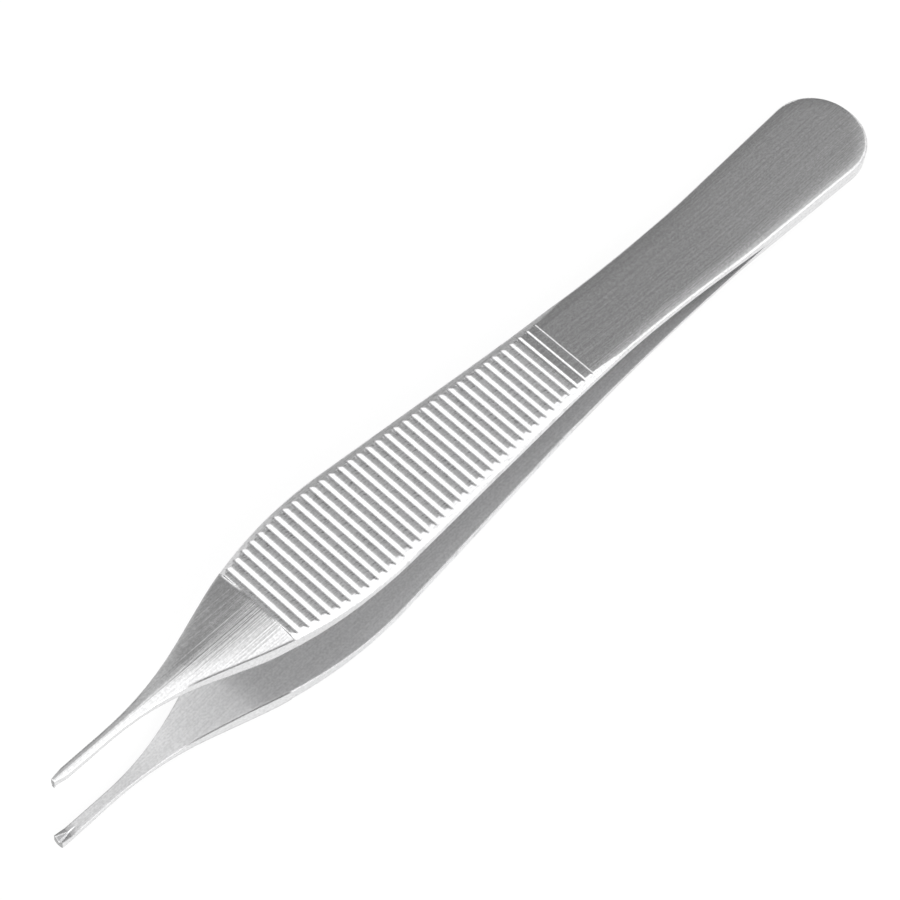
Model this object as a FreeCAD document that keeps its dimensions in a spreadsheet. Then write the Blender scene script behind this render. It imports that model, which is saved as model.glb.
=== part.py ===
import FreeCAD, Part
import math
import os
import Sketcher

# Toothed tissue forceps with a ribbed thumb grip.
#
# Two sprung arms of stainless steel are forged and ground in one piece each, and welded face to face
# over the heel. Each arm is drawn in its own frame: x runs from the heel to the tip, y across the arm,
# and z from the seam between the arms outwards. The lower arm is the same forging turned over.
# The finished forceps lies on the lower arm, with z up and its tips towards +x.

doc = FreeCAD.newDocument("thumb_forceps")

# Driving dimensions in millimetres. "at" is a distance from the heel along the seam, "back" one from
# the tip, "height" a distance from the seam, and "half" a half width. The corners of the outlines are
# where the straight stretches would meet, and each has the radius that rounds it.
SIZES = (
    ("arm_length", 120.0),
    ("weld_length", 19.3),
    ("heel_thickness", 1.1),
    # side of the arm, inner face
    ("spring_length", 18.4),
    ("bend_height", 2.3),
    ("bend_radius", 200.0),
    ("grip_end_back", 37.5),
    ("grip_end_height", 5.0),
    ("grip_end_radius", 60.0),
    ("belly_back", 24.0),
    ("belly_height", 4.72),
    ("belly_radius", 20.0),
    ("neck_back", 11.5),
    ("neck_height", 6.58),
    ("neck_radius", 30.0),
    ("tip_height", 6.65),
    # side of the arm, outer face
    ("spring_lead", 4.0),
    ("spring_radius", 50.0),
    ("grip_start_at", 50.0),
    ("grip_start_height", 4.25),
    ("grip_start_radius", 200.0),
    ("nose_back", 27.2),
    ("nose_thickness", 2.2),
    ("crest_rise", 0.06),
    ("tip_thickness", 0.98),
    # outline of the arm seen from above
    ("heel_half", 5.89),
    ("heel_flat", 0.45),
    ("waist_at", 40.9),
    ("waist_half", 4.24),
    ("waist_radius", 250.0),
    ("nose_taper", 20.06),
    ("shoulder_half", 7.27),
    ("shoulder_radius", 49.0),
    ("nose_end_back", 12.8),
    ("nose_end_half", 0.55),
    ("nose_radius", 38.0),
    ("upper_tip_half", 0.48),
    ("lower_tip_half", 0.6),
    ("edge_round", 0.3),
    # crown of the nose and the slim tip: how far it drops at the half widths that follow
    ("crown_start_drop", 0.45),
    ("crown_start_half", 5.3),
    ("crown_drop", 0.4),
    ("crown_nose_back", 21.0),
    ("crown_nose_half", 3.9),
    ("crown_neck_back", 15.0),
    ("crown_neck_half", 1.85),
    ("crown_shaft_back", 9.0),
    ("crown_shaft_half", 0.8),
    ("crown_tip_half", 0.6),
    # grooves across the thumb grip
    ("groove_count", 36),
    ("groove_pitch", 1.2706),
    ("groove_width", 0.86),
    ("groove_depth", 0.26),
    ("groove_root", 0.2),
    ("last_land", 0.33),
    # bevel along both sides of the thumb grip, in which the grooves run out
    ("rim_width", 1.0),
    ("rim_drop", 0.5),
    # teeth and bevels of the tips
    ("bevel_length", 1.5),
    ("bevel_half", 0.22),
    ("tooth_length", 0.55),
    ("tooth_height", 0.5),
    ("tooth_width", 0.32),
    ("teeth_length", 1.4),
    ("teeth_height", 0.45),
    ("notch_width", 0.9),
    ("notch_depth", 0.3),
    ("notch_length", 2.4),
    ("notch_start_share", 0.12),
)

sheet = doc.addObject("Spreadsheet::Sheet", "sizes")
for row, (alias, size) in enumerate(SIZES, start=1):
    sheet.set(f"A{row}", alias)
    sheet.set(f"B{row}", str(size))
    sheet.setAlias(f"B{row}", alias)
doc.recompute()


def value(owner, text):
    """Works out the number that an expression over the sizes stands for."""
    number = owner.evalExpression(text)
    return float(getattr(number, "Value", number))


def new_sketch(body, name, plane, offset=None):
    """Adds a sketch on one of the body's own origin planes, at an offset along the plane's normal."""
    sketch = body.newObject("Sketcher::SketchObject", name)
    support = [item for item in body.Origin.OriginFeatures if item.Role == plane][0]
    sketch.AttachmentSupport = [(support, "")]
    sketch.MapMode = "FlatFace"
    if offset:
        sketch.setExpression("AttachmentOffset.Base.z", offset)
    return sketch


def pin(sketch, geometry, position, x, y):
    """Holds a sketch point at two expressions, or on an axis where one of them is zero."""
    for kind, axis, text in (("DistanceX", -2, x), ("DistanceY", -1, y)):
        if text == "0":
            sketch.addConstraint(Sketcher.Constraint("PointOnObject", geometry, position, axis))
            continue
        distance = Sketcher.Constraint(kind, -1, 1, geometry, position, value(sketch, text))
        index = sketch.addConstraint(distance)
        sketch.setExpression(f"Constraints[{index}]", text)


def set_radius(sketch, arc, text):
    """Holds the radius of an arc at an expression."""
    index = sketch.addConstraint(Sketcher.Constraint("Radius", arc, value(sketch, text)))
    sketch.setExpression(f"Constraints[{index}]", text)


def draw_outline(sketch, corners):
    """Draws a closed outline through corners, each an x, a y and a radius, or None where it is sharp.

    A round corner gets an arc tangent to both of its sides. A construction point
    marks where the two sides would meet, and carries the corner's place.
    """
    count = len(corners)
    points = [FreeCAD.Vector(value(sketch, x), value(sketch, y), 0) for x, y, _ in corners]
    entries = list(points)
    leaves = list(points)
    bends = {}
    for i, (_, _, radius) in enumerate(corners):
        if radius is None:
            continue
        back = (points[i - 1] - points[i]).normalize()
        ahead = (points[(i + 1) % count] - points[i]).normalize()
        half_angle = back.getAngle(ahead) / 2
        size = value(sketch, radius)
        entries[i] = points[i] + back * (size / math.tan(half_angle))
        leaves[i] = points[i] + ahead * (size / math.tan(half_angle))
        inwards = FreeCAD.Vector(back + ahead).normalize()
        middle = points[i] + inwards * (size / math.sin(half_angle) - size)
        turns_left = ahead.cross(back).z > 0
        bends[i] = (middle, turns_left)
    lines = []
    for i in range(count):
        line = Part.LineSegment(leaves[i], entries[(i + 1) % count])
        lines.append(sketch.addGeometry(line, False))
    for i, (x, y, radius) in enumerate(corners):
        before = lines[i - 1]
        after = lines[i]
        if i not in bends:
            sketch.addConstraint(Sketcher.Constraint("Coincident", before, 2, after, 1))
            pin(sketch, after, 1, x, y)
            continue
        middle, turns_left = bends[i]
        ends = (entries[i], leaves[i]) if turns_left else (leaves[i], entries[i])
        enter, leave = (1, 2) if turns_left else (2, 1)
        arc = sketch.addGeometry(Part.Arc(ends[0], middle, ends[1]), False)
        sketch.addConstraint(Sketcher.Constraint("Tangent", before, 2, arc, enter))
        sketch.addConstraint(Sketcher.Constraint("Tangent", arc, leave, after, 1))
        set_radius(sketch, arc, radius)
        marker = sketch.addGeometry(Part.Point(points[i]), True)
        sketch.addConstraint(Sketcher.Constraint("PointOnObject", marker, 1, before))
        sketch.addConstraint(Sketcher.Constraint("PointOnObject", marker, 1, after))
        pin(sketch, marker, 1, x, y)


def pad_across(body, sketch, name, width):
    """Pads a sketch to both sides by half of a width."""
    pad = body.newObject("PartDesign::Pad", name)
    pad.Profile = sketch
    pad.SideType = "Symmetric"
    pad.setExpression("Length", width)
    return pad


def from_tip(alias):
    """Writes a distance back from the tip as one from the heel."""
    return f"(sizes.arm_length - sizes.{alias})"


# Expressions that more than one feature uses.
BEND_AT = "(sizes.weld_length + sizes.spring_length)"
NOSE_START = from_tip("nose_back")
NOSE_END = from_tip("nose_end_back")
SHOULDER_AT = f"({NOSE_END} - sizes.nose_taper)"
HEEL_ROUND = "sizes.heel_half - sizes.heel_flat"
LAND_HEIGHT = "sizes.belly_height + sizes.nose_thickness"
GRIP_RISE = f"({LAND_HEIGHT} - sizes.grip_start_height) / ({NOSE_START} - sizes.grip_start_at)"
STOCK_WIDTH = "2 * max(sizes.shoulder_half; sizes.heel_half)"


def mirrored(corners):
    """Repeats the near half of an outline on the far side, in the other order."""
    far = [(x, y if y == "0" else f"-({y})", radius) for x, y, radius in reversed(corners)]
    return corners + far


def plan_corners(tip_corners):
    """Lists the near half of the arm's outline from above, from the heel to the tip."""
    return [
        ("0", "sizes.heel_half", HEEL_ROUND),
        ("sizes.waist_at", "sizes.waist_half", "sizes.waist_radius"),
        (SHOULDER_AT, "sizes.shoulder_half", "sizes.shoulder_radius"),
        (NOSE_END, "sizes.nose_end_half", "sizes.nose_radius"),
    ] + tip_corners


def draw_crown_section(sketch, crest, half, drop):
    """Draws the space above one crowned cross section: an arc below, and straight sides and top."""
    y = value(sketch, half)
    top = value(sketch, crest)
    shoulder = top - value(sketch, drop)
    roof = top + value(sketch, "sizes.heel_thickness")
    left_low = FreeCAD.Vector(-y, shoulder, 0)
    right_low = FreeCAD.Vector(y, shoulder, 0)
    left_high = FreeCAD.Vector(-y, roof, 0)
    right_high = FreeCAD.Vector(y, roof, 0)
    arc = sketch.addGeometry(Part.Arc(right_low, FreeCAD.Vector(0, top, 0), left_low), False)
    left = sketch.addGeometry(Part.LineSegment(left_low, left_high), False)
    upper = sketch.addGeometry(Part.LineSegment(left_high, right_high), False)
    right = sketch.addGeometry(Part.LineSegment(right_high, right_low), False)
    for first, start, second, end in ((arc, 2, left, 1), (left, 2, upper, 1), (upper, 2, right, 1),
                                      (right, 2, arc, 1)):
        sketch.addConstraint(Sketcher.Constraint("Coincident", first, start, second, end))
    sketch.addConstraint(Sketcher.Constraint("Vertical", left))
    sketch.addConstraint(Sketcher.Constraint("Horizontal", upper))
    sketch.addConstraint(Sketcher.Constraint("Vertical", right))
    pin(sketch, arc, 1, half, f"{crest} - {drop}")
    pin(sketch, left, 1, f"-({half})", f"{crest} - {drop}")
    height = Sketcher.Constraint("DistanceY", -1, 1, upper, 1, roof)
    index = sketch.addConstraint(height)
    sketch.setExpression(f"Constraints[{index}]", f"{crest} + sizes.heel_thickness")
    set_radius(sketch, arc, f"({half} * {half} + {drop} * {drop}) / (2 * {drop})")


def round_outer_edges(body, stock):
    """Rounds the edge all round the outer face, from the heel to the nose."""
    nose_start = value(stock, NOSE_START)
    steepest = math.cos(math.radians(30))
    margin = 0.01
    outer = []
    for face in stock.Shape.Faces:
        u0, u1, v0, v1 = face.ParameterRange
        normal = face.normalAt((u0 + u1) / 2, (v0 + v1) / 2)
        if normal.z > steepest and face.CenterOfMass.x < nose_start:
            outer.append(face)
    rim = []
    for number, edge in enumerate(stock.Shape.Edges, start=1):
        owners = sum(1 for face in outer for side in face.Edges if side.isSame(edge))
        if owners == 1 and edge.BoundBox.XMin < nose_start - margin:
            rim.append(f"Edge{number}")
    fillet = body.newObject("PartDesign::Fillet", "outer_edge")
    fillet.Base = (stock, rim)
    fillet.setExpression("Radius", "sizes.edge_round")
    return fillet


def build_forging(name, tip_corners):
    """Builds one arm without its grooves and teeth."""
    body = doc.addObject("PartDesign::Body", name)
    side = new_sketch(body, f"{name}_side", "XZ_Plane")
    # The stock stands above the nose and the tip, for the crown to be cut from it.
    nose_top = f"{LAND_HEIGHT} + 2 * sizes.crest_rise"
    tip_top = "sizes.tip_height + sizes.tip_thickness + sizes.crest_rise"
    draw_outline(side, [
        ("0", "0", None),
        ("sizes.weld_length", "0", None),
        (BEND_AT, "sizes.bend_height", "sizes.bend_radius"),
        (from_tip("grip_end_back"), "sizes.grip_end_height", "sizes.grip_end_radius"),
        (from_tip("belly_back"), "sizes.belly_height", "sizes.belly_radius"),
        (from_tip("neck_back"), "sizes.neck_height", "sizes.neck_radius"),
        ("sizes.arm_length", "sizes.tip_height", None),
        ("sizes.arm_length", tip_top, None),
        (NOSE_START, nose_top, None),
        (NOSE_START, LAND_HEIGHT, None),
        ("sizes.grip_start_at", "sizes.grip_start_height", "sizes.grip_start_radius"),
        ("sizes.weld_length + sizes.spring_lead", "sizes.heel_thickness", "sizes.spring_radius"),
        ("0", "sizes.heel_thickness", None),
    ])
    pad_across(body, side, f"{name}_stock", STOCK_WIDTH)
    doc.recompute()

    plan = new_sketch(body, f"{name}_plan", "XY_Plane")
    draw_outline(plan, mirrored(plan_corners(tip_corners)))
    outside_x = "sizes.arm_length + sizes.weld_length"
    draw_outline(plan, [
        ("-sizes.weld_length", f"-{STOCK_WIDTH}", None),
        (outside_x, f"-{STOCK_WIDTH}", None),
        (outside_x, STOCK_WIDTH, None),
        ("-sizes.weld_length", STOCK_WIDTH, None),
    ])
    trim = body.newObject("PartDesign::Pocket", f"{name}_trim")
    trim.Profile = plan
    trim.Type = "ThroughAll"
    trim.SideType = "Symmetric"
    doc.recompute()

    fillet = round_outer_edges(body, trim)
    doc.recompute()

    crest = f"{LAND_HEIGHT} + sizes.crest_rise"
    tip_crest = "sizes.tip_height + sizes.tip_thickness"
    stations = (
        (NOSE_START, "sizes.crown_start_half", "sizes.crown_start_drop"),
        (from_tip("crown_nose_back"), "sizes.crown_nose_half", "sizes.crown_drop"),
        (from_tip("crown_neck_back"), "sizes.crown_neck_half", "sizes.crown_drop"),
        (from_tip("crown_shaft_back"), "sizes.crown_shaft_half", "sizes.crown_drop"),
        ("sizes.arm_length", "sizes.crown_tip_half", "sizes.crown_drop"),
    )
    sections = []
    for at, half, drop in stations:
        share = f"({at} - {NOSE_START}) / sizes.nose_back"
        height = f"({crest} + ({tip_crest} - ({crest})) * {share})"
        section = new_sketch(body, f"{name}_crown", "YZ_Plane", at)
        draw_crown_section(section, height, half, drop)
        sections.append(section)
    crown = body.newObject("PartDesign::SubtractiveLoft", f"{name}_crown_cut")
    crown.Profile = sections[0]
    crown.Sections = sections[1:]
    doc.recompute()
    return body


def add_tooth(body, name, length, height, width):
    """Adds a tooth at the tip of the inner face, as a wedge that is highest at the end."""
    sketch = new_sketch(body, f"{name}_side", "XZ_Plane")
    draw_outline(sketch, [
        (f"sizes.arm_length - {length}", "sizes.tip_height", None),
        ("sizes.arm_length", f"sizes.tip_height - {height}", None),
        ("sizes.arm_length", "sizes.tip_height", None),
    ])
    pad_across(body, sketch, name, width)
    doc.recompute()


def cut_notch(body, name):
    """Cuts the notch that parts the wedge into two teeth, deepest and widest at the end."""
    sections = []
    for at, share in (("sizes.arm_length", "1"), (from_tip("notch_length"), "sizes.notch_start_share")):
        section = new_sketch(body, f"{name}_section", "YZ_Plane", at)
        mouth = f"sizes.tip_height - sizes.teeth_height * {share}"
        half = f"sizes.notch_width / 2 * {share}"
        draw_outline(section, [
            (f"-{half}", mouth, None),
            (half, mouth, None),
            ("0", f"sizes.tip_height + sizes.notch_depth * {share}", None),
        ])
        sections.append(section)
    notch = body.newObject("PartDesign::SubtractiveLoft", name)
    notch.Profile = sections[0]
    notch.Sections = sections[1:]
    notch.Ruled = True
    doc.recompute()


def lay_on_lands(cutter):
    """Places a cutter that is drawn in the plane of the lands between the grooves.

    Its x runs along the lands and is zero where the nose starts, and its z points outwards.
    """
    cutter.setExpression("Placement.Base.x", NOSE_START)
    cutter.setExpression("Placement.Base.z", LAND_HEIGHT)
    cutter.Placement.Rotation = FreeCAD.Rotation(FreeCAD.Vector(0, -1, 0), 0)
    cutter.setExpression("Placement.Rotation.Angle", f"atan({GRIP_RISE})")
    doc.recompute()


def build_rim_cutter():
    """Builds what the bevels along both sides of the thumb grip take away."""
    cutter = doc.addObject("PartDesign::Body", "rim_cutter")
    low = "-2 * sizes.rim_drop"
    high = "sizes.rim_drop / 2"
    start = f"sizes.waist_at - {NOSE_START}"
    ground = new_sketch(cutter, "rim_ground", "XY_Plane", low)
    draw_outline(ground, [
        (start, f"-{STOCK_WIDTH}", None),
        ("0", f"-{STOCK_WIDTH}", None),
        ("0", STOCK_WIDTH, None),
        (start, STOCK_WIDTH, None),
    ])
    block = cutter.newObject("PartDesign::Pad", "rim_block")
    block.Profile = ground
    block.setExpression("Length", f"{high} - ({low})")
    doc.recompute()
    # The bevel reaches the lands a rim's width inside the arm's edge, and is carried on both ways.
    outlines = []
    for height, inset in ((low, "-sizes.rim_width"), (high, "1.5 * sizes.rim_width")):
        outline = new_sketch(cutter, "rim_outline", "XY_Plane", height)
        near = [
            (f"-{NOSE_START}", f"sizes.heel_half - ({inset})", None),
            (start, f"sizes.waist_half - ({inset})", "sizes.waist_radius"),
            (f"{SHOULDER_AT} - {NOSE_START}", f"sizes.shoulder_half - ({inset})", "sizes.shoulder_radius"),
            (f"{NOSE_END} - {NOSE_START}", "sizes.nose_end_half", None),
        ]
        draw_outline(outline, mirrored(near))
        outlines.append(outline)
    loft = cutter.newObject("PartDesign::SubtractiveLoft", "rim_bevel")
    loft.Profile = outlines[0]
    loft.Sections = outlines[1:]
    loft.Ruled = True
    doc.recompute()
    return cutter


def build_groove_cutter():
    """Builds the row of bars that the grooves across the thumb grip are cut with."""
    comb = doc.addObject("PartDesign::Body", "groove_comb")
    section = new_sketch(comb, "groove_section", "XZ_Plane")
    # The bar carries the groove's two walls on upwards, until it is three times as deep and as wide.
    middle = "-sizes.last_land - sizes.groove_width / 2"
    lift = "2 * sizes.groove_depth"
    reach = "3 * sizes.groove_width / 2"
    draw_outline(section, [
        (f"{middle} - {reach}", lift, None),
        (middle, "-sizes.groove_depth", "sizes.groove_root"),
        (f"{middle} + {reach}", lift, None),
    ])
    first = pad_across(comb, section, "groove_bar", STOCK_WIDTH)
    grooves = comb.newObject("PartDesign::LinearPattern", "grooves")
    grooves.Originals = [first]
    grooves.Direction = (section, ["H_Axis"])
    grooves.Reversed = True
    grooves.Mode = "Spacing"
    grooves.setExpression("Offset", "sizes.groove_pitch")
    grooves.setExpression("Occurrences", "sizes.groove_count")
    comb.Tip = grooves
    doc.recompute()
    return comb


pointed_tip = [
    (from_tip("bevel_length"), "sizes.upper_tip_half", None),
    ("sizes.arm_length", "sizes.bevel_half", None),
]
square_tip = [
    ("sizes.arm_length", "sizes.lower_tip_half", None),
]
upper_forging = build_forging("upper_forging", pointed_tip)
add_tooth(upper_forging, "upper_tooth", "sizes.tooth_length", "sizes.tooth_height", "sizes.tooth_width")
lower_forging = build_forging("lower_forging", square_tip)
add_tooth(lower_forging, "lower_teeth", "sizes.teeth_length", "sizes.teeth_height",
          "2 * sizes.lower_tip_half")
cut_notch(lower_forging, "lower_notch")
rim_cutter = build_rim_cutter()
groove_cutter = build_groove_cutter()
for cutter in (rim_cutter, groove_cutter):
    lay_on_lands(cutter)

# The forceps lies on the rounded edge of the heel and on the crest of the lower arm's nose.
edge_round = value(sheet, "sizes.edge_round")
heel_drop = value(sheet, "sizes.heel_thickness - sizes.edge_round")
crest_at = value(sheet, NOSE_START)
crest_drop = value(sheet, f"{LAND_HEIGHT} + sizes.crest_rise") - edge_round - heel_drop
lean = math.atan2(crest_drop, crest_at - edge_round)
tilt = FreeCAD.Rotation(FreeCAD.Vector(0, -1, 0), math.degrees(lean))
turned_over = FreeCAD.Rotation(FreeCAD.Vector(1, 0, 0), 180)
stances = (("upper_arm", upper_forging, tilt), ("lower_arm", lower_forging, tilt * turned_over))

# The origin is below the middle of the forceps, on what it lies on.
box = FreeCAD.BoundBox()
for _, forging, turn in stances:
    laid = forging.Shape.copy()
    laid.Placement = FreeCAD.Placement(FreeCAD.Vector(0, 0, 0), turn)
    box.add(laid.optimalBoundingBox())
floor_drop = edge_round + heel_drop * math.cos(lean) - edge_round * math.sin(lean)
home = FreeCAD.Vector(-(box.XMin + box.XMax) / 2, -(box.YMin + box.YMax) / 2, floor_drop)

arms = []
for label, forging, turn in stances:
    blank = doc.addObject("Part::Cut", f"{label}_blank")
    blank.Base = forging
    blank.Tool = rim_cutter
    arm = doc.addObject("Part::Cut", label)
    arm.Base = blank
    arm.Tool = groove_cutter
    arm.Label = label
    arm.Placement = FreeCAD.Placement(home, turn)
    arms.append(arm)
doc.recompute()

for item in doc.Objects:
    if "Invalid" in item.State or "Error" in item.State:
        raise RuntimeError(f"{item.Label} failed: {item.State}")
os.makedirs("parts", exist_ok=True)
for arm in arms:
    shape = arm.Shape
    if shape.isNull() or not shape.isValid() or len(shape.Solids) != 1:
        raise RuntimeError(f"{arm.Label} is not one valid solid")
    shape.exportStep(f"parts/{arm.Label}.step")
    print(arm.Label, "volume", round(shape.Volume, 2), "faces", len(shape.Faces))
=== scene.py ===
import math

import bpy
from mathutils import Matrix, Vector


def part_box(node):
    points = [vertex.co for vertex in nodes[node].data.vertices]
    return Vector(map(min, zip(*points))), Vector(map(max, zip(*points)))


# Brushed steel forceps lying on a white studio table. Everything is in metres, in the frame of the part:
# x runs towards the tips, y across the arms, and z up from the table.

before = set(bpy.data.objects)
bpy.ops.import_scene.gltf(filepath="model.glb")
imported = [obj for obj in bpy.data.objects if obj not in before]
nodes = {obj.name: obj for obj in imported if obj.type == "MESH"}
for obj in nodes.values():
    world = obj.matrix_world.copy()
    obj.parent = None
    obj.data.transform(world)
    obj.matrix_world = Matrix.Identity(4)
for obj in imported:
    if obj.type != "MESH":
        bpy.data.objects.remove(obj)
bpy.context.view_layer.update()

# The camera, as fitted to the photograph.
CAMERA_AT = Vector((0.121532, 0.102412, 0.302333))
CAMERA_AIM = Vector((0.000918, -0.003094, 0.0))
CAMERA_ROLL = math.radians(2.667)
LENS = 129.77
SENSOR = 36.0

# The studio: how bright the light tent is at its foot and overhead, what is left of that in front of
# the grey curtain over the far side, and how much of the curtain's grey is left along its lighter
# fold. Then how many times as bright the window beyond the tips and the soft box on the near side are.
TENT_FOOT = 0.9
TENT_TOP = 1.65
CURTAIN = 0.165
CURTAIN_FOLD = 0.91
WINDOW = 1.35
NEAR_BOX = 1.4

# The lamp that casts the shadow on the table.
KEY_AT = (0.05, 0.45, 0.5)
KEY_SIZE = 0.35
KEY_POWER = 0.5

# The table: how white it is, and how much of its white doesn't show the shadow.
TABLE_SIZE = 4.0
TABLE_WHITE = 0.93
TABLE_GLOW = 0.85

# The grip starts at this x, and the nose, the slim tip and the teeth start this far from the tips' ends.
# The finish changes over a short way at each: to both sides of GRIP_AT and of the nose's start, and
# just before the slim tip and the teeth.
GRIP_AT = -0.01
GRIP_BLUR = 0.001
NOSE_LENGTH = 0.0272
NOSE_BLUR = 0.0005
TIP_LENGTH = 0.013
TIP_BLUR = 0.006
TEETH_LENGTH = 0.001
TEETH_BLUR = 0.002

# Faces are told apart by one part of their normal. Each pair is where along it such faces begin and
# where they are fully what the name says.
FLAT_FACES = (0.4, 0.7)
INNER_FACES = (0.5, 0.7)
TIPWARD_WALLS = (-0.05, 0.1)
TIPWARD_ENDS = (0.7, 0.9)
HEELWARD_WALLS = (-0.5, -0.2)
TIP_TOP_UP = (0.5, 0.8)
TIP_TOP_NEAR = (-0.5, -0.1)
# The next two pairs pick the softened near edge of the nose that gets the painted dark reflection.
EDGE_PAINTED_REFLECTION_NEAR = (0.24, 0.34)
EDGE_PAINTED_REFLECTION_UP = (0.4, 0.5)

# The steel's colour, and how bright it is in places as a share of that. Where there are two numbers,
# the noise or the slope of the face goes from the first to the second.
STEEL = (0.77, 0.77, 0.775, 1.0)
LINE_TONES = (0.92, 1.04)
SPECKLE_TONES = (0.9, 1.07)
TICK_TONES = (0.55, 0.8)
INNER_TONE = 0.9
RIB_TONE = 1.1
# Painted shade: faces that face the tips are darkened to this share of the steel's colour.
TIPWARD_PAINTED_SHADE = 0.35
# Painted reflection: the dark line along the nose's near edge, at this share of the steel's colour.
EDGE_PAINTED_REFLECTION_TONE = 0.12
TEETH_TONE = 0.65

# The noise behind the grinding lines, the speckle and the ribs' ticks: its features per metre along
# each axis, and the values that it mostly keeps between.
LINE_NOISE = (20.0, 6500.0, 60.0)
SPECKLE_NOISE = (3500.0, 4500.0, 4500.0)
TICK_NOISE = (900.0, 6500.0, 60.0)
NOISE_SPREAD = (0.3, 0.7)
TICK_SPREAD = (0.5, 0.68)

# The finish of each stretch of an arm: its roughness, the radius of its softened edges, and the height
# of its grinding lines as a share of GRIND_DEPTH. The inner face has its own roughness and height.
ROUGHNESS = {"heel": 0.19, "grip": 0.28, "nose": 0.14, "tip": 0.14}
EDGE_RADIUS = {"heel": 0.00015, "grip": 0.0003, "nose": 0.0004, "tip": 0.0002}
LINE_HEIGHT = {"heel": 0.25, "grip": 0.4, "nose": 1.1, "tip": 0.4}
INNER_ROUGHNESS = 0.42
INNER_HEIGHT = 0.15
GRIND_DEPTH = 0.00002

# How much the shine is drawn out across the grinding lines, outside and inside.
GROUND_STREAK = 0.5
SATIN_STREAK = 0.2

# The outer face from the heel to the grip falls off a little towards its edges: within this radius, by
# this share, and until just past GRIP_AT.
FALL_OFF_RADIUS = 0.0025
FALL_OFF = 0.09
FALL_OFF_BLUR = 0.002

# The nose is shaded as if it leant this much to the near side, and the slim tip's top as if it faced
# partly this way.
NOSE_LEAN = (0.0, 0.042, 0.0)
TIP_TOP_FACING = (0.14, 0.08, 1.0)
TIP_TOP_SHARE = 0.35


class Graph:
    """Adds nodes to a node tree and links them, one call for each node."""

    # The Mix node's own numbers for the sockets of each kind of data, because their names are alike.
    VECTOR_INPUTS = (0, 4, 5)
    VECTOR_OUTPUT = 1
    COLOUR_INPUTS = (0, 6, 7)
    COLOUR_OUTPUT = 2

    def __init__(self, tree):
        self.tree = tree
        tree.nodes.clear()

    def add(self, kind, **settings):
        node = self.tree.nodes.new(kind)
        for name, setting in settings.items():
            setattr(node, name, setting)
        return node

    def put(self, node, socket, source):
        """Sets an input to a number, a colour or a vector, or links it to another node's output."""
        target = node.inputs[socket]
        if isinstance(source, bpy.types.NodeSocket):
            self.tree.links.new(source, target)
        else:
            target.default_value = source

    def put_all(self, node, sockets, sources):
        for socket, source in zip(sockets, sources):
            self.put(node, socket, source)

    def math(self, operation, *sources):
        node = self.add("ShaderNodeMath", operation=operation)
        self.put_all(node, range(len(sources)), sources)
        return node.outputs[0]

    def vector_math(self, operation, *sources):
        node = self.add("ShaderNodeVectorMath", operation=operation)
        self.put_all(node, range(len(sources)), sources)
        return node.outputs["Vector"]

    def split(self, vector):
        """The X, Y and Z of a vector."""
        node = self.add("ShaderNodeSeparateXYZ")
        self.put(node, "Vector", vector)
        return node.outputs

    def product(self, first, *others):
        for other in others:
            first = self.math("MULTIPLY", first, other)
        return first

    def ramp(self, source, low, high, start, end):
        """Maps source from low..high smoothly to start..end."""
        node = self.add("ShaderNodeMapRange", interpolation_type="SMOOTHSTEP")
        sockets = ("Value", "From Min", "From Max", "To Min", "To Max")
        self.put_all(node, sockets, (source, low, high, start, end))
        return node.outputs["Result"]

    def mask(self, source, low, high):
        """Rises from 0 to 1 as source goes from low to high."""
        return self.ramp(source, low, high, 0.0, 1.0)

    def between(self, mask, start, end):
        """Goes from start to end as a mask rises from 0 to 1."""
        return self.ramp(mask, 0.0, 1.0, start, end)

    def blend(self, share, first, second):
        """Blends two vectors, with a share of the second."""
        node = self.add("ShaderNodeMix", data_type="VECTOR")
        self.put_all(node, self.VECTOR_INPUTS, (share, first, second))
        return node.outputs[self.VECTOR_OUTPUT]

    def tint(self, colour, tone):
        """Multiplies a colour by a number."""
        node = self.add("ShaderNodeMix", data_type="RGBA", blend_type="MULTIPLY")
        self.put_all(node, self.COLOUR_INPUTS, (1.0, colour, tone))
        return node.outputs[self.COLOUR_OUTPUT]

    def noise(self, vector, stretch, detail=2.0, roughness=0.5):
        """Noise from 0 to 1 with its own scale along each axis, in features per metre."""
        mapping = self.add("ShaderNodeMapping")
        self.put_all(mapping, ("Vector", "Scale"), (vector, stretch))
        node = self.add("ShaderNodeTexNoise")
        sockets = ("Vector", "Scale", "Detail", "Roughness")
        self.put_all(node, sockets, (mapping.outputs["Vector"], 1.0, detail, roughness))
        return node.outputs["Fac"]

    def bevel(self, radius, samples):
        """The normal as it is with the edges rounded to a radius."""
        node = self.add("ShaderNodeBevel", samples=samples)
        self.put(node, "Radius", radius)
        return node.outputs["Normal"]

    def finish(self, kind, surface):
        """Links a shader to the output of the material or the world."""
        self.put(self.add(kind), "Surface", surface)


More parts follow.
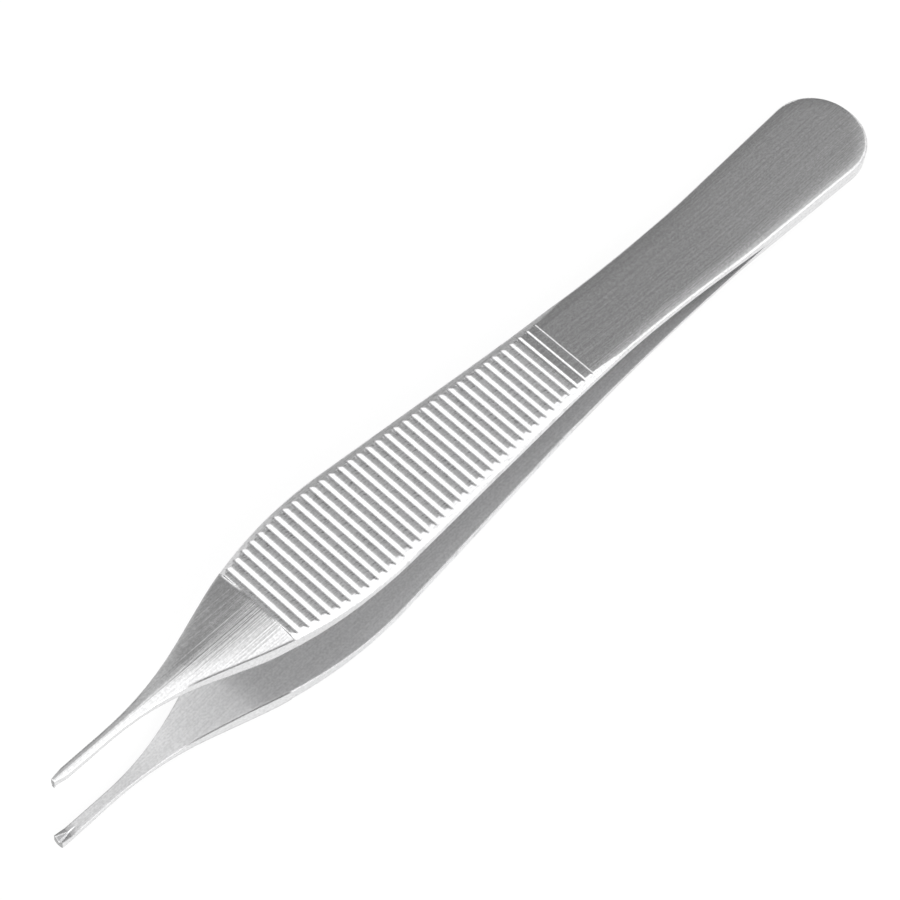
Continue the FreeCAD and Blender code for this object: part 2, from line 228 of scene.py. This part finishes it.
class ArmSteel(Graph):
    """The steel of one arm: ground lengthwise outside, more coarsely on the nose, and satin inside.

    The inner face is the one whose normal points along z times inner_up.
    """

    def __init__(self, name, inner_up):
        self.material = bpy.data.materials.new(name)
        self.material.use_nodes = True
        super().__init__(self.material.node_tree)
        self.place = self.add("ShaderNodeTexCoord").outputs["Object"]
        self.x = self.split(self.place)["X"]
        self.normal = self.add("ShaderNodeNewGeometry").outputs["Normal"]
        self.facing = self.split(self.normal)
        self.tips_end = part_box(name)[1][0]
        self.mark_stretches()
        self.mark_faces(inner_up)
        self.make_grain()
        self.make_shader()

    def mark_stretches(self):
        """Makes the masks of the nose, the grip and the slim tip."""
        nose_start = self.tips_end - NOSE_LENGTH
        tip_start = self.tips_end - TIP_LENGTH
        self.nose = self.mask(self.x, nose_start - NOSE_BLUR, nose_start + NOSE_BLUR)
        past_spring = self.mask(self.x, GRIP_AT - GRIP_BLUR, GRIP_AT + GRIP_BLUR)
        self.grip = self.product(past_spring, self.between(self.nose, 1.0, 0.0))
        self.slim_tip = self.mask(self.x, tip_start - TIP_BLUR, tip_start)

    def mark_faces(self, inner_up):
        """Makes the masks of the inner and outer faces, of all flat faces, and of the grip's ribs."""
        self.inner = self.mask(self.math("MULTIPLY", self.facing["Z"], inner_up), *INNER_FACES)
        self.outer = self.between(self.inner, 1.0, 0.0)
        self.flat = self.mask(self.math("ABSOLUTE", self.facing["Z"]), *FLAT_FACES)
        not_tipward = self.ramp(self.facing["X"], *TIPWARD_WALLS, 1.0, 0.0)
        self.ribs = self.product(self.grip, self.outer, not_tipward)

    def make_grain(self):
        """Makes the grinding lines, which the flat faces have, the satin's speckle and the ribs' ticks."""
        lines = self.noise(self.place, LINE_NOISE, detail=3.0, roughness=0.6)
        self.lines = self.math("MULTIPLY_ADD", self.math("SUBTRACT", lines, 0.5), self.flat, 0.5)
        self.speckle = self.noise(self.place, SPECKLE_NOISE, detail=3.0)
        self.ticks = self.product(self.noise(self.place, TICK_NOISE), self.ribs)

    def along(self, heel, grip, nose, tip):
        """A number that changes from stretch to stretch along the arm."""
        number = self.between(self.grip, heel, grip)
        number = self.between(self.nose, number, nose)
        return self.between(self.slim_tip, number, tip)

    def painted_edge_reflection(self, soft_edges):
        """The mask of the painted dark reflection along the nose's near edge, which ends at the slim tip."""
        turned = self.split(soft_edges)
        return self.product(self.nose, self.between(self.slim_tip, 1.0, 0.0),
                            self.mask(turned["Y"], *EDGE_PAINTED_REFLECTION_NEAR), self.mask(turned["Z"], *EDGE_PAINTED_REFLECTION_UP))

    def tone(self, soft_edges):
        """How bright the steel is from place to place, with painted shade on the faces that face the tips and
        a painted dark reflection along the nose's near edge.
        """
        teeth_start = self.tips_end - TEETH_LENGTH
        teeth = self.product(self.inner, self.mask(self.x, teeth_start - TEETH_BLUR, teeth_start))
        tick_tone = self.ramp(self.facing["X"], *HEELWARD_WALLS, *TICK_TONES)
        return self.product(self.ramp(self.lines, *NOISE_SPREAD, *LINE_TONES),
                            self.ramp(self.speckle, *NOISE_SPREAD, *SPECKLE_TONES),
                            self.between(self.inner, 1.0, INNER_TONE),
                            # Painted shade on the faces that face the tips.
                            self.ramp(self.facing["X"], *TIPWARD_ENDS, 1.0, TIPWARD_PAINTED_SHADE),
                            self.ramp(self.ticks, *TICK_SPREAD, 1.0, tick_tone),
                            self.between(self.ribs, 1.0, RIB_TONE),
                            # Painted dark reflection along the nose's near edge.
                            self.between(self.painted_edge_reflection(soft_edges), 1.0, EDGE_PAINTED_REFLECTION_TONE),
                            self.between(teeth, 1.0, TEETH_TONE))

    def shaded_normal(self, soft_edges):
        """The normal with the edges soft, the heel falling off, the nose leaning and the tip's top turned."""
        before_grip = self.ramp(self.x, GRIP_AT - FALL_OFF_BLUR, GRIP_AT + FALL_OFF_BLUR, FALL_OFF, 0.0)
        fallen_off = self.blend(self.product(before_grip, self.outer), soft_edges,
                                self.bevel(FALL_OFF_RADIUS, samples=8))
        tip_top = self.product(self.slim_tip, self.ramp(self.facing["Z"], *TIP_TOP_UP, 0.0, TIP_TOP_SHARE),
                               self.mask(self.facing["Y"], *TIP_TOP_NEAR))
        turned = self.blend(tip_top, fallen_off, TIP_TOP_FACING)
        return self.vector_math("MULTIPLY_ADD", self.product(self.nose, self.outer), NOSE_LEAN, turned)

    def bump(self, normal):
        """Presses the grinding lines into the outer face and the speckle into the inner one."""
        height = self.between(self.inner, self.product(self.lines, self.along(**LINE_HEIGHT)),
                              self.product(self.speckle, INNER_HEIGHT))
        node = self.add("ShaderNodeBump")
        self.put_all(node, ("Normal", "Height", "Distance", "Strength"), (normal, height, GRIND_DEPTH, 1.0))
        return node.outputs["Normal"]

    def make_shader(self):
        soft_edges = self.bevel(self.along(**EDGE_RADIUS), samples=6)
        shader = self.add("ShaderNodeBsdfPrincipled")
        self.put(shader, "Base Color", self.tint(STEEL, self.tone(soft_edges)))
        self.put(shader, "Metallic", 1.0)
        roughness = self.between(self.inner, self.along(**ROUGHNESS), INNER_ROUGHNESS)
        self.put(shader, "Roughness", roughness)
        self.put(shader, "Anisotropic", self.between(self.inner, GROUND_STREAK, SATIN_STREAK))
        self.put(shader, "Tangent", self.vector_math("CROSS_PRODUCT", self.normal, (1.0, 0.0, 0.0)))
        self.put(shader, "Normal", self.bump(self.shaded_normal(soft_edges)))
        self.finish("ShaderNodeOutputMaterial", shader.outputs[0])


def light_world():
    """Lights the scene from all round, with a grey curtain over the far side towards the heel."""
    world = bpy.data.worlds.new("studio")
    bpy.context.scene.world = world
    world.use_nodes = True
    graph = Graph(world.node_tree)
    towards = graph.split(graph.add("ShaderNodeTexCoord").outputs["Generated"])
    tent = graph.ramp(towards["Z"], 0.1, 0.6, TENT_FOOT, TENT_TOP)
    far_side = graph.ramp(towards["Y"], -0.28, -0.05, 1.0, 0.0)
    heel_side = graph.ramp(towards["X"], -0.55, 0.3, 1.0, 0.0)
    above_table = graph.mask(towards["Z"], 0.05, 0.2)
    fold_from_near = graph.ramp(towards["Y"], -0.6, -0.36, CURTAIN_FOLD, 1.0)
    fold = graph.ramp(towards["Y"], -0.85, -0.7, 1.0, fold_from_near)
    curtain = graph.product(far_side, heel_side, above_table, fold)
    left_by_curtain = graph.math("MULTIPLY_ADD", curtain, CURTAIN - 1.0, 1.0)
    window = graph.ramp(towards["X"], 0.1, 0.4, 1.0, WINDOW)
    near_box = graph.ramp(towards["Y"], 0.4, 0.8, 1.0, NEAR_BOX)
    shine = graph.add("ShaderNodeBackground")
    graph.put(shine, "Strength", graph.product(tent, left_by_curtain, window, near_box))
    graph.finish("ShaderNodeOutputWorld", shine.outputs[0])


def lay_floor():
    """Lays the white table, which is plain white around the object and keeps a faint shadow of it."""
    bpy.ops.mesh.primitive_plane_add(size=TABLE_SIZE, location=(0.0, 0.0, 0.0))
    floor = bpy.context.object
    floor.name = "table"
    material = bpy.data.materials.new("table_white")
    material.use_nodes = True
    graph = Graph(material.node_tree)
    matte = graph.add("ShaderNodeBsdfDiffuse")
    graph.put(matte, "Color", (TABLE_WHITE, TABLE_WHITE, TABLE_WHITE, 1.0))
    glow = graph.add("ShaderNodeEmission")
    path = graph.add("ShaderNodeLightPath")
    seen = graph.math("MAXIMUM", path.outputs["Is Camera Ray"], path.outputs["Is Glossy Ray"])
    glow_share = graph.math("MULTIPLY", seen, TABLE_GLOW)
    mix = graph.add("ShaderNodeMixShader")
    graph.put_all(mix, range(3), (glow_share, matte.outputs[0], glow.outputs[0]))
    graph.finish("ShaderNodeOutputMaterial", mix.outputs[0])
    floor.data.materials.append(material)


def set_material(piece, material):
    piece.data.materials.clear()
    piece.data.materials.append(material)


def add_lamp(name, place, size, power):
    """Adds a square soft box that faces the middle of the forceps."""
    data = bpy.data.lights.new(name, "AREA")
    data.shape = "SQUARE"
    data.size = size
    data.energy = power
    lamp = bpy.data.objects.new(name, data)
    lamp.location = place
    lamp.rotation_euler = (-Vector(place)).to_track_quat("-Z", "Y").to_euler()
    bpy.context.scene.collection.objects.link(lamp)


def add_camera():
    data = bpy.data.cameras.new("camera")
    data.lens = LENS
    data.sensor_width = SENSOR
    camera = bpy.data.objects.new("camera", data)
    turn = (CAMERA_AIM - CAMERA_AT).to_track_quat("-Z", "Y").to_matrix().to_4x4()
    camera.matrix_world = Matrix.Translation(CAMERA_AT) @ turn @ Matrix.Rotation(CAMERA_ROLL, 4, "Z")
    bpy.context.scene.collection.objects.link(camera)
    bpy.context.scene.camera = camera


light_world()
lay_floor()
for name, inner_up in (("upper_arm", -1.0), ("lower_arm", 1.0)):
    set_material(nodes[name], ArmSteel(name, inner_up).material)
add_lamp("key", KEY_AT, KEY_SIZE, KEY_POWER)
add_camera()

bpy.context.scene.view_settings.view_transform = "Standard"
